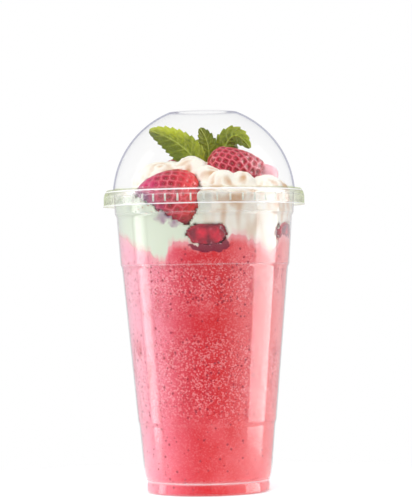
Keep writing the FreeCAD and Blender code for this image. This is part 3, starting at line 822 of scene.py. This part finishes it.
def joined_blob(name, parts, voxel, material):
    """One closed mesh from several overlapping ones, remeshed at a voxel size in metres."""
    work = bmesh.new()
    for part in parts:
        work.from_mesh(part.data)
    mesh = bpy.data.meshes.new(name)
    work.to_mesh(mesh)
    work.free()
    blob = bpy.data.objects.new(name, mesh)
    scene.collection.objects.link(blob)
    remesh = blob.modifiers.new("remesh", "REMESH")
    remesh.mode = "VOXEL"
    remesh.voxel_size = voxel
    relax = blob.modifiers.new("relax", "SMOOTH")
    relax.factor = 0.5
    relax.iterations = 6
    graph = bpy.context.evaluated_depsgraph_get()
    final = bpy.data.meshes.new_from_object(blob.evaluated_get(graph))
    blob.modifiers.clear()
    blob.data = final
    final.materials.clear()
    final.materials.append(material)
    final.polygons.foreach_set("use_smooth", [True] * len(final.polygons))
    for part in parts:
        bpy.data.objects.remove(part)
    return blob



# ---- Strawberries ------------------------------------------------------------
# Fresh strawberries laid in the cream: a soft red flesh whose skin sinks in round each
# of its seeds, so that the rims between the seeds catch the light.

# Strawberry skin: wet, so it shines like varnish over a deep red; its colour holds painted
# shade in the dimples round the seeds and painted highlights on the rims between them.
berry_look, tree, out = new_material("fresh_strawberry_skin")
where = add_node(tree, "ShaderNodeTexCoord").outputs["Object"]
tone = add_node(tree, "ShaderNodeAttribute", {"attribute_name": "skin_tone"})
blotches = add_node(tree, "ShaderNodeTexNoise", Vector=where, Scale=140.0, Detail=2.0)
ripe = ranged(tree, blotches.outputs[0], 0.52, 0.75, 0.3)
berry_colour = mixed(tree, ripe, tone.outputs["Color"], "#E02C40")
skin = add_node(tree, "ShaderNodeBump", Strength=0.3, Distance=0.0001, Height=blotches.outputs[0])
body = add_node(
    tree,
    "ShaderNodeBsdfPrincipled",
    Base_Color=berry_colour,
    Roughness=0.28,
    Normal=skin.outputs[0],
    Subsurface_Weight=0.15,
    Subsurface_Radius=(0.004, 0.0008, 0.0006),
    Subsurface_Scale=1.0,
    Coat_Weight=0.2,
    Coat_Roughness=0.12,
)
tree.links.new(body.outputs[0], out.inputs["Surface"])

# Strawberry seeds: dry, hard and straw coloured, with a faint shine.
seed_look, tree, out = new_material("strawberry_seed_husk")
where = add_node(tree, "ShaderNodeTexCoord").outputs["Object"]
husk = add_node(tree, "ShaderNodeTexNoise", Vector=where, Scale=900.0)
straws = add_node(
    tree,
    "ShaderNodeMix",
    {"data_type": "RGBA"},
    _0=husk.outputs[0],
    _6=linear("#94302A"),
    _7=linear("#C87A48"),
)
body = add_node(
    tree, "ShaderNodeBsdfPrincipled", Base_Color=straws.outputs[2], Roughness=0.4
)
tree.links.new(body.outputs[0], out.inputs["Surface"])

BERRY_SHARES = [(0, 0), (0.03, 0.42), (0.13, 0.82), (0.3, 1), (0.55, 0.88), (0.8, 0.56), (0.95, 0.25), (1, 0)]
GOLDEN_TURN = math.radians(137.508)


def inside_wall(spot, film=0.0):
    """A point, moved in to where the cup's wall, a film of cream on it or the dome would
    stop it."""
    limit = wall_radius(min(spot.z, 150.8)) - WALL - 0.12 - film
    if spot.z > 150.8:
        dome_room = (DOME_RADIUS - 1.2) ** 2 - (spot.z - DOME_CENTRE[1]) ** 2
        limit = min(limit, math.sqrt(max(0.0, dome_room)))
    across = math.hypot(spot.x, spot.y)
    if across > limit:
        return Vector((spot.x * limit / across, spot.y * limit / across, spot.z))
    return spot


def berry_radius(share):
    """The radius of a berry at a share of its length, as a share of its greatest."""
    for (low, low_r), (high, high_r) in zip(BERRY_SHARES, BERRY_SHARES[1:]):
        if share <= high:
            t = (share - low) / (high - low)
            if low == 0:
                return high_r * math.sqrt(max(0.0, 1 - (1 - t) ** 2))
            if high == 1:
                return low_r * math.sqrt(max(0.0, 1 - t**2))
            return low_r + (high_r - low_r) * t
    return 0.0


def smooth_berry_radius(share):
    """The same, averaged over a short run so that the sides have no corners."""
    near = [min(1.0, max(0.0, share + d)) for d in (-0.06, -0.03, 0, 0.03, 0.06)]
    blend = sum(berry_radius(s) for s in near) / len(near)
    ends = min(1.0, 12 * min(share, 1 - share))
    return blend * ends + berry_radius(share) * (1 - ends)


# Painted shade red for the dimples, the skin's own red, and a painted highlight for the rims.
DIMPLE_SHADE_RED, RIDGE, RIM_PAINTED_HIGHLIGHT = linear("#7E0A1E"), linear("#BC122C"), linear("#F79AA8")
MAGENTA, SMOOTH_RED, STAINED = linear("#CC2266"), linear("#E42C30"), linear("#6A1B5E")


def blend(first, second, share):
    """A colour between two others, each of four linear parts."""
    share = min(1.0, max(0.0, share))
    return tuple(a + (b - a) * share for a, b in zip(first, second))


def smeared(spot):
    """How far a point lies under the slanting edge of the cream that is smeared over the
    lower left of the berry at the wall."""
    return 145 - 0.6 * (spot.x + 27.6) - spot.z + 1.6 * noise.noise(spot / 2.2)


def seed_rows(name, spots, ways):
    """The seeds of one berry, grown from points that know which way is outwards."""
    mesh = bpy.data.meshes.new(name)
    mesh.from_pydata([spot * MM for spot in spots], [], [])
    outwards = mesh.attributes.new("outwards", "FLOAT_VECTOR", "POINT")
    outwards.data.foreach_set("vector", [part for way in ways for part in way])
    seeds = bpy.data.objects.new(name, mesh)
    scene.collection.objects.link(seeds)
    tree, given = growth_tree(name, {"Seed Size": "Vector"})
    grain = add_node(tree, "GeometryNodeMeshUVSphere", Segments=8, Rings=5, Radius=1.0)
    way = add_node(
        tree,
        "GeometryNodeInputNamedAttribute",
        {"data_type": "FLOAT_VECTOR"},
        Name="outwards",
    )
    turn = add_node(
        tree, "FunctionNodeAlignRotationToVector", {"axis": "Z"}, Vector=way.outputs[0]
    )
    sown = add_node(
        tree,
        "GeometryNodeInstanceOnPoints",
        Points=given.outputs[0],
        Instance=grain.outputs[0],
        Rotation=turn.outputs[0],
        Scale=given.outputs["Seed Size"],
    )
    finish_growth(tree, sown.outputs[0], seed_look)
    grown(seeds, tree, Seed_Size=(0.24 * MM, 0.4 * MM, 0.2 * MM))
    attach(seeds, "cup")


def strawberry(name, node, length, width, middle, bearing, dip, seeds, at_wall=False):
    """A strawberry whose core points along a bearing and dips below the horizontal, in
    millimetres and degrees, with its seeds on a golden spiral. One that lies at the wall
    is smooth red on its right, magenta on its left, stained purple by its juice low on the
    left, and darker red towards its lower end."""
    bearing, dip = math.radians(bearing), math.radians(dip)
    towards = Vector(
        (math.cos(bearing) * math.cos(dip), math.sin(bearing) * math.cos(dip), -math.sin(dip))
    )
    turn = Vector((0, 0, 1)).rotation_difference(towards).to_matrix()

    def skin_point(share, angle):
        radius = smooth_berry_radius(share) * width / 2
        lumpy = 1 + 0.05 * noise.noise(Vector((math.cos(angle), math.sin(angle), share * 3 + width)))
        return Vector((math.cos(angle) * radius * lumpy, math.sin(angle) * radius * lumpy, (share - 0.5) * length))

    def outwards(point):
        return Vector((point.x, point.y, point.z * (width / length) ** 2)).normalized()

    steps = [i / 400 for i in range(401)]
    area, total = [], 0.0
    for s in steps:
        total += smooth_berry_radius(s) + 0.05
        area.append(total)
    tree_of_seeds = kdtree.KDTree(seeds)
    spots = []
    for i in range(seeds):
        goal = total * (i + 0.5) / seeds
        share = next(s for s, a in zip(steps, area) if a >= goal)
        spots.append((share, i * GOLDEN_TURN))
        tree_of_seeds.insert(skin_point(share, i * GOLDEN_TURN), i)
    tree_of_seeds.balance()
    rows, columns = 130, 170
    vertices, faces, tones = [], [], []
    for row in range(rows + 1):
        share = row / rows
        share = 0.5 - 0.5 * math.cos(math.pi * share)
        for column in range(columns):
            angle = 2 * math.pi * column / columns
            point = skin_point(share, angle)
            near = tree_of_seeds.find_n(point, 2)
            closest, second = near[0][2], near[1][2]
            ridge = math.exp(-(((second - closest) / 0.4) ** 2))
            depth = -0.6 * math.exp(-((closest / 0.95) ** 2)) + 0.22 * ridge
            vertices.append(point + outwards(point) * depth)
            # Painted shade darkens each dimple towards its seed; a painted highlight lightens the rims.
            tone = blend(DIMPLE_SHADE_RED, RIDGE, min(1.0, closest / 1.45) ** 2)
            tone = blend(tone, RIM_PAINTED_HIGHLIGHT, 0.6 * ridge)
            if at_wall:
                spot = turn @ point + Vector(middle)
                wobble = 2.5 * noise.noise(spot / 4.0)
                tone = blend(tone, SMOOTH_RED, (spot.x + 16 + wobble) / 9)
                tone = blend(tone, MAGENTA, 0.75 * (-spot.x - 18 + wobble) / 8)
                low = (-spot.x - 22 + wobble) / 6 + (147 - spot.z) / 9
                tone = blend(tone, STAINED, min(0.85, low) * (spot.x < -10))
                # Darker red towards the lower end, in the red of the dimple shade.
                tone = blend(tone, DIMPLE_SHADE_RED, (139 - spot.z) / 5)
            tones.append(tone)
    for row in range(rows):
        for column in range(columns):
            after = (column + 1) % columns
            a, b = row * columns, (row + 1) * columns
            faces.append((a + column, a + after, b + after, b + column))
    if at_wall:
        squash = Matrix(((1.1, 0, 0), (0, 1, 0.4), (0.07, 0, 0.97)))
        turn = squash @ turn
    place = [turn @ v + Vector(middle) for v in vertices]
    place = [inside_wall(p, 1.8 * (at_wall and smeared(p) > -0.6)) * MM for p in place]
    berry = new_piece(name, place, faces, berry_look)
    set_attribute(berry, "skin_tone", tones)
    work = bmesh.new()
    work.from_mesh(berry.data)
    bmesh.ops.remove_doubles(work, verts=work.verts, dist=2e-6)
    bmesh.ops.recalc_face_normals(work, faces=work.faces)
    work.to_mesh(berry.data)
    work.free()
    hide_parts(node)
    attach(berry, "cup")
    sunk = [skin_point(*spot) for spot in spots]
    ways = [turn @ outwards(point) for point in sunk]
    beds = [turn @ (p - outwards(p) * 0.5) + Vector(middle) for p in sunk]
    seed_rows(f"{name}_seeds", beds, ways)
    return berry


strawberry("front_strawberry", "strawberry_front", 31.5, 33.5, (-16.3, -25.6, 145.9), -52, 52, 190, True)
strawberry("top_strawberry", "strawberry_top", 30, 24.5, (16, -1, 163), -3, -8, 150)
strawberry("rear_strawberry", "strawberry_rear", 26, 21, (-15, 17, 159.5), 150, 10, 120)


# ---- Cut berries -------------------------------------------------------------
# Pieces of berry that slid down between the cream and the wall. They are pressed flat
# against the plastic, and their juice has run into the cream round them.

# Cut strawberry, soaked in its own juice: darker than the skin, wet and uneven.
pulp_look, tree, out = new_material("soaked_strawberry_pulp")
where = add_node(tree, "ShaderNodeTexCoord").outputs["Object"]
fibres = add_node(tree, "ShaderNodeTexNoise", Vector=where, Scale=420.0, Detail=4.0)
patches = add_node(tree, "ShaderNodeTexNoise", Vector=where, Scale=170.0, Detail=2.0)
depth_of_red = add_node(
    tree, "ShaderNodeMapRange", Value=patches.outputs[0], From_Min=0.38, From_Max=0.66
)
dark_reds = add_node(
    tree,
    "ShaderNodeMix",
    {"data_type": "RGBA"},
    _0=depth_of_red.outputs[0],
    _6=linear("#7A0C24"),
    _7=linear("#E0203C"),
)
threads = add_node(
    tree, "ShaderNodeMapRange", Value=fibres.outputs[0], From_Min=0.6, From_Max=0.8, To_Max=0.6
)
pulp_colour = add_node(
    tree,
    "ShaderNodeMix",
    {"data_type": "RGBA"},
    _0=threads.outputs[0],
    _6=dark_reds.outputs[2],
    _7=linear("#E58A97"),
)
rough = add_node(tree, "ShaderNodeBump", Strength=0.6, Distance=0.0004, Height=fibres.outputs[0])
body = add_node(
    tree,
    "ShaderNodeBsdfPrincipled",
    Base_Color=pulp_colour.outputs[2],
    Roughness=0.3,
    Normal=rough.outputs[0],
    Coat_Weight=0.4,
    Coat_Roughness=0.15,
)
tree.links.new(body.outputs[0], out.inputs["Surface"])

# Pale heart of a strawberry: firm, faintly pink flesh with a satin wetness.
heart_look, tree, out = new_material("pale_strawberry_heart")
where = add_node(tree, "ShaderNodeTexCoord").outputs["Object"]
rays = add_node(tree, "ShaderNodeTexNoise", Vector=where, Scale=260.0, Detail=2.0)
hearts = add_node(
    tree,
    "ShaderNodeMix",
    {"data_type": "RGBA"},
    _0=rays.outputs[0],
    _6=linear("#F7C9CF"),
    _7=linear("#EE93A2"),
)
body = add_node(
    tree, "ShaderNodeBsdfPrincipled", Base_Color=hearts.outputs[2], Roughness=0.35
)
tree.links.new(body.outputs[0], out.inputs["Surface"])


def berry_piece(name, node, turn, reach, height, half, material, lumps=0.12, blocky=0.0):
    """A lump of berry at a bearing from the front, a distance from the axis and a height.
    half is half its size towards the axis, along the wall and upwards."""
    deep, along, tall = half
    bearing = math.radians(turn - 90)
    facing = Matrix.Rotation(bearing, 3, "Z")
    middle = Vector((reach * math.cos(bearing), reach * math.sin(bearing), height))
    work = bmesh.new()
    bmesh.ops.create_icosphere(work, subdivisions=5, radius=1.0)
    for vertex in work.verts:
        way = vertex.co.normalized()
        size = 1 + lumps * noise.noise(way * 1.7 + middle) + lumps * 0.6 * noise.noise(way * 4 + middle)
        size *= (0.8 / max(abs(way.x), abs(way.y), abs(way.z))) ** blocky
        way = Vector((way.x * deep, way.y * along, way.z * tall))
        vertex.co = inside_wall(middle + facing @ way * size) * MM
    mesh = bpy.data.meshes.new(name)
    work.to_mesh(mesh)
    work.free()
    mesh.materials.append(material)
    mesh.polygons.foreach_set("use_smooth", [True] * len(mesh.polygons))
    piece = bpy.data.objects.new(name, mesh)
    scene.collection.objects.link(piece)
    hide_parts(node)
    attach(piece, "cup")
    return piece


berry_piece("front_berry_piece", "berry_piece_front", 1.7, 39.0, 129.9, (7, 10.4, 5.7), pulp_look, 0.16, 0.1)
berry_piece("side_berry_piece", "berry_piece_side", 73, 40.5, 130.5, (5, 9.5, 5.4), pulp_look)
berry_piece("lower_berry_piece", "berry_piece_under", 87, 25.35, 157.75, (5.5, 5, 4.5), pulp_look)
berry_piece("pale_berry_slice", "berry_slice", 97, 32.35, 160, (6, 3, 5.5), heart_look, 0.05)


# ---- The cream's surface -----------------------------------------------------
# The cream fills the room round the fruit: it is pressed flat along the wall, open in
# front of the berries that show through it, and ridged where the nozzle left it.

FRUIT_IN_CREAM = ["front_strawberry", "front_berry_piece", "side_berry_piece"]

cream = joined_blob("whipped_cream_swirl", [lobes, core], 0.0009, cream_look)
fruit = {
    name: bvhtree.BVHTree.FromObject(bpy.data.objects[name], bpy.context.evaluated_depsgraph_get())
    for name in FRUIT_IN_CREAM
}

WARM_WHITE, FOLD_SHADE_BEIGE = linear("#F3EEE0"), linear("#D2AC86")
GREENISH, SHADE = linear("#DCE5CF"), linear("#BFC6BE")
MELTED, JUICE = linear("#F6A3A8"), linear("#8E3A80")
STAINS = [((-22, -39, 141), 6), ((-15, -42, 137), 4), ((4, -42, 125), 7.5)]
tones = []
for vertex in cream.data.vertices:
    spot = vertex.co / MM
    push = 0.0
    if spot.z > 140:
        fold = abs(noise.noise(Vector((spot.x / 5.5, spot.y / 5.5, spot.z / 8.0))))
        push = 0.9 * noise.noise(spot / 8.0) + 2.2 * (0.16 - fold)
        push += 0.3 * noise.noise(spot / 1.8)
        spot = spot + vertex.normal * push * min(1.0, (spot.z - 140) / 8)
    across = math.hypot(spot.x, spot.y)
    limit = wall_radius(min(spot.z, 150.8)) - WALL - 0.3
    if spot.z > 150.8:
        dome_room = (DOME_RADIUS - 1.2) ** 2 - (spot.z - DOME_CENTRE[1]) ** 2
        limit = min(limit, 45.0, math.sqrt(max(0.0, dome_room)))
    near = across > limit - (1.6 if spot.z < 149 else 0.0)
    if across > limit or (near and spot.z > 112):
        spot.x *= limit / across
        spot.y *= limit / across
    turn = front_turn(spot.x, spot.y)
    cloud = noise.noise(spot / 6.0) + 0.5 * noise.noise(spot / 2.5)
    # Painted shade: beige in the hollows where the folds are pushed in.
    tone = blend(WARM_WHITE, FOLD_SHADE_BEIGE, 0.85 * (-push - 0.1) + 0.25 * cloud)
    streak = noise.noise(Vector((turn / 5.0, 3.0, spot.z / 14.0)))
    # Painted shade: upright beige streaks low on the cream, except at the front left.
    if spot.z < 156:
        low = min(1.0, (156 - spot.z) / 8)
        tone = blend(tone, FOLD_SHADE_BEIGE, low * (streak * 0.9 + 0.1) * (turn > -25))
    if -110 < turn < 5 and spot.z < 151:
        tone = blend(tone, GREENISH, min(1.0, (5 - turn) / 15, (turn + 110) / 25, (151 - spot.z) / 3))
        tone = blend(tone, SHADE, 0.5 * (cloud + 0.2) * (spot.z > 140))
    for place, radius in STAINS:
        near_stain = 1 - (spot - Vector(place)).length / radius
        tone = blend(tone, JUICE, 1.3 * near_stain + 1.2 * cloud * (near_stain > 0))
    above_edge = spot.z - edge_height(turn) if across > 38 and spot.z < 140 else 20.0
    tones.append(blend(tone, MELTED, (3.2 - above_edge + 2.5 * cloud) / 4.5 * 0.7))
    inwards = Vector((-spot.x, -spot.y, 0)).normalized()
    if spot.y < -15 and abs(turn) < 60:
        inwards = Vector((0, 1, 0))
    outside = spot * MM - inwards * 0.03
    for berry, skin in fruit.items():
        if berry == "front_strawberry" and smeared(spot) > 0:
            continue
        reach_in = 0.045 if berry == "front_strawberry" else 0.035
        hit, _, _, distance = skin.ray_cast(outside, inwards, reach_in)
        if hit is not None and distance > 0.03 - 0.0004:
            spot = (hit + inwards * 0.0006) / MM
    vertex.co = spot * MM
set_attribute(cream, "cream_tone", tones)
cream.data.update()
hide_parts("whipped_cream")
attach(cream, "cup")


# ---- Mint --------------------------------------------------------------------
# A sprig of fresh mint stuck into the cream: thin leaves with a toothed edge, a sunk
# midrib and side veins, and a skin that swells up between them.

# Mint leaf: a thin waxy skin over spongy green tissue; it shines a little, lets some
# light through, and its veins are paler than the swellings between them.
leaf_look, tree, out = new_material("fresh_mint_leaf")
where = add_node(tree, "ShaderNodeTexCoord").outputs["Object"]
vein = add_node(tree, "ShaderNodeAttribute", {"attribute_name": "vein"})
sunlit = add_node(tree, "ShaderNodeAttribute", {"attribute_name": "sunlit"})
mottle = add_node(tree, "ShaderNodeTexNoise", Vector=where, Scale=300.0, Detail=3.0)
greens = add_node(
    tree,
    "ShaderNodeMix",
    {"data_type": "RGBA"},
    _0=mottle.outputs[0],
    _6=linear("#4E5E08"),
    _7=linear("#7C8A12"),
)
lit = add_node(
    tree,
    "ShaderNodeMix",
    {"data_type": "RGBA"},
    _0=sunlit.outputs["Fac"],
    _6=greens.outputs[2],
    _7=linear("#B9C422"),
)
veined = add_node(
    tree,
    "ShaderNodeMix",
    {"data_type": "RGBA"},
    _0=vein.outputs["Fac"],
    _6=lit.outputs[2],
    _7=linear("#A3AE38"),
)
body = add_node(
    tree,
    "ShaderNodeBsdfPrincipled",
    Base_Color=veined.outputs[2],
    Roughness=0.42,
    Subsurface_Weight=0.1,
    Subsurface_Radius=(0.0006, 0.001, 0.0002),
    Subsurface_Scale=1.0,
)
tree.links.new(body.outputs[0], out.inputs["Surface"])

LEAF_WIDTHS = [(0, 0.1), (0.06, 0.5), (0.2, 0.95), (0.38, 1.05), (0.6, 0.92), (0.82, 0.62), (0.95, 0.34), (1, 0.12)]


def leaf_width(along):
    """The width of a leaf at a share of its length, as a share of its greatest."""
    for (low, low_w), (high, high_w) in zip(LEAF_WIDTHS, LEAF_WIDTHS[1:]):
        if along <= high:
            return low_w + (high_w - low_w) * (along - low) / (high - low)
    return 0.0


def mint_leaf(name, node, start, bend, tip, width, cupping, quilt, teeth, roll=0.0, lit_side=0.0):
    """A leaf that faces the front, along a bent midrib. quilt is how far the skin swells
    between the side veins, and lit_side the half that is paler."""
    start, bend, tip = Vector(start), Vector(bend), Vector(tip)
    rows, columns, thick = 120, 48, 0.4
    vertices, faces, veins, sun = [], [], [], []
    for side in (1, -1):
        for row in range(rows + 1):
            along = row / rows
            back = 1 - along
            middle = start * back**2 + bend * (2 * along * back) + tip * along**2
            heading = ((bend - start) * back + (tip - bend) * along).normalized()
            across = heading.cross(Vector((0, 1, 0))).normalized()
            across = Matrix.Rotation(math.radians(roll) * along, 3, heading) @ across
            normal = across.cross(heading)
            wide = leaf_width(along) * width / 2
            notch = (along * teeth) % 1.0
            wide += 1.1 * (notch - 0.4) * min(1.0, 6 * along * back + 0.1) * (wide > 0.8)
            wide = max(wide, 0.12)
            for column in range(columns + 1):
                out_share = column / columns * 2 - 1
                off = abs(out_share)
                phase = (along * 7.5 - off * 1.3) % 1.0
                side_vein = math.exp(-((min(phase, 1 - phase) / 0.1) ** 2))
                mid_vein = math.exp(-((off * wide / 0.35) ** 2))
                swell = math.sin(math.pi * phase) ** 0.7 * (1 - mid_vein) * min(1, (1 - off) * 4 + 0.2)
                fine = noise.noise(Vector((along * 26, out_share * 9, width)))
                lift = quilt * (swell * 0.8 + 0.35 * fine) - 0.35 * mid_vein
                lift += cupping * (1 - off**1.5) * leaf_width(along)
                lift += 0.5 * noise.noise(Vector((along * 4, out_share * 1.5, width + 7)))
                half_thick = thick / 2 * (1 - off**6) + 0.02
                spot = middle + across * (wide * out_share) + normal * (lift + side * half_thick)
                vertices.append(spot * MM)
                veins.append(min(1.0, 0.75 * side_vein * (1 - off) + 0.8 * mid_vein))
                sunny = lit_side * out_share * 1.5 * min(1.0, max(0.2, (along - 0.35) * 2.5))
                sun.append(max(0.0, min(1.0, sunny + 0.12 + 0.4 * fine)))
    count = (rows + 1) * (columns + 1)
    for layer, flip in ((0, False), (count, True)):
        for row in range(rows):
            for column in range(columns):
                a = layer + row * (columns + 1) + column
                quad = (a, a + 1, a + columns + 2, a + columns + 1)
                faces.append(quad[::-1] if flip else quad)
    rim = [r * (columns + 1) for r in range(rows + 1)]
    rim_far = [r * (columns + 1) + columns for r in range(rows + 1)]
    ends = list(range(columns + 1)), [rows * (columns + 1) + c for c in range(columns + 1)]
    for edge in (rim, rim_far, ends[0], ends[1]):
        for a, b in zip(edge, edge[1:]):
            faces.append((a, b, b + count, a + count))
    leaf = new_piece(name, vertices, faces, leaf_look)
    set_attribute(leaf, "vein", veins)
    set_attribute(leaf, "sunlit", sun)
    face_outwards(leaf)
    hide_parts(node)
    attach(leaf, "cup")
    return leaf


mint_leaf(
    "left_mint_leaf", "mint_leaf_left", (-1, 6, 163.5), (-10, 7, 178.5), (-27.3, 2, 183.4),
    14.5, -1.2, 0.35, 11, lit_side=-1.0,
)
mint_leaf(
    "middle_mint_leaf", "mint_leaf_middle", (1.5, 10.5, 163), (5, 10, 176), (-1.7, 8, 184.6),
    10.5, 1.0, 0.3, 9, lit_side=0.1,
)
mint_leaf(
    "right_mint_leaf", "mint_leaf_right", (8, 14, 163), (13, 13, 191), (23.8, 7, 174),
    11.5, -1.0, 0.8, 10, lit_side=0.4,
)
